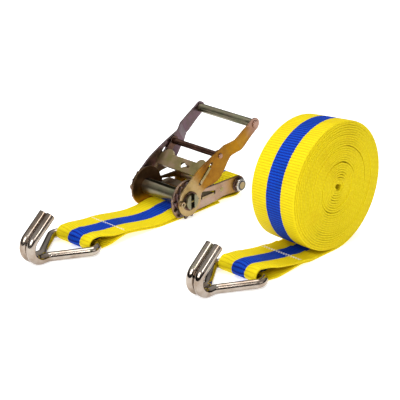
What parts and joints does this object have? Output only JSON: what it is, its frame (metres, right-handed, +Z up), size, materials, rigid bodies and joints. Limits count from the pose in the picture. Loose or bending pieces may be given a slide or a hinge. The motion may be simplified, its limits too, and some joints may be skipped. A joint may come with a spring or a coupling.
{
  "type": "ratchet tie down",
  "caption": "Ratchet tie down: lever ratchet with toothed wheels on a short hooked strap, with a rolled long strap that ends in a matching wire hook.",
  "frame": {"origin": "middle of the outer box, on the floor that the hooks, straps and roll lie on", "axes": "+X along the straps from the hooks to the ratchet, +Y along the spool away from the roll, +Z up"},
  "size_m": [0.2748, 0.2192, 0.122],
  "materials": {
    "plated_steel": "yellow zinc plating with olive and pink tints",
    "spring_steel": "plain spring wire",
    "webbing": "woven polyester, yellow with a blue middle stripe"
  },
  "bodies": {
    "frame": {"base_plate_near": "plated_steel", "base_plate_far": "plated_steel", "strap_bolt": "plated_steel", "bolt_sleeve": "plated_steel", "bolt_washer_near": "plated_steel", "bolt_washer_far": "plated_steel", "bolt_nut": "plated_steel", "lock_rod": "plated_steel", "lock_spring_near": "spring_steel", "lock_spring_far": "spring_steel", "short_strap": "webbing", "lead_strap": "webbing", "strap_roll": "webbing"},
    "spool": {"spool_half_front": "plated_steel", "spool_half_rear": "plated_steel", "ratchet_wheel_near": "plated_steel", "ratchet_wheel_far": "plated_steel", "split_pin_near": "plated_steel", "split_pin_far": "plated_steel", "spool_washer_near": "plated_steel", "spool_washer_far": "plated_steel"},
    "handle": {"handle_plate_near": "plated_steel", "handle_plate_far": "plated_steel", "grip_tube": "plated_steel", "grip_rivet_near": "plated_steel", "grip_rivet_far": "plated_steel", "crossbar": "plated_steel", "crossbar_rivet_near": "plated_steel", "crossbar_rivet_far": "plated_steel", "yoke_leg_near": "plated_steel", "yoke_leg_far": "plated_steel"},
    "drive_pawl_body": {"drive_pawl": "plated_steel"},
    "locking_pawl_body": {"locking_pawl": "plated_steel"},
    "short_hook_body": {"short_hook": "plated_steel"},
    "long_hook_body": {"long_hook": "plated_steel"}
  },
  "joints": [
    {"name": "handle_swing", "type": "hinge", "parent": "frame", "child": "handle", "pos_m": [0.03938, 0.07211, 0.0185], "axis": [0, -1, 0], "range_deg": [-28, 135]},
    {"name": "spool_spin", "type": "hinge", "parent": "frame", "child": "spool", "pos_m": [0.03938, 0.07211, 0.0185], "axis": [0, 1, 0], "continuous": true},
    {"name": "drive_pawl_slide", "type": "slide", "parent": "handle", "child": "drive_pawl_body", "axis": [0.7193, 0, 0.6947], "range_m": [0, 0.0036], "stiffness_N_per_m": 400, "springref_m": -0.004},
    {"name": "locking_pawl_slide", "type": "slide", "parent": "frame", "child": "locking_pawl_body", "axis": [1, 0, 0], "range_m": [0, 0.004], "stiffness_N_per_m": 400, "springref_m": -0.004},
    {"name": "short_hook_swing", "type": "hinge", "parent": "frame", "child": "short_hook_body", "pos_m": [-0.07162, 0.07211, 0.00635], "axis": [0, 1, 0], "range_deg": [0, 60]},
    {"name": "long_hook_swing", "type": "hinge", "parent": "frame", "child": "long_hook_body", "pos_m": [-0.02063, -0.07889, 0.00635], "axis": [0, 1, 0], "range_deg": [0, 60]}
  ]
}
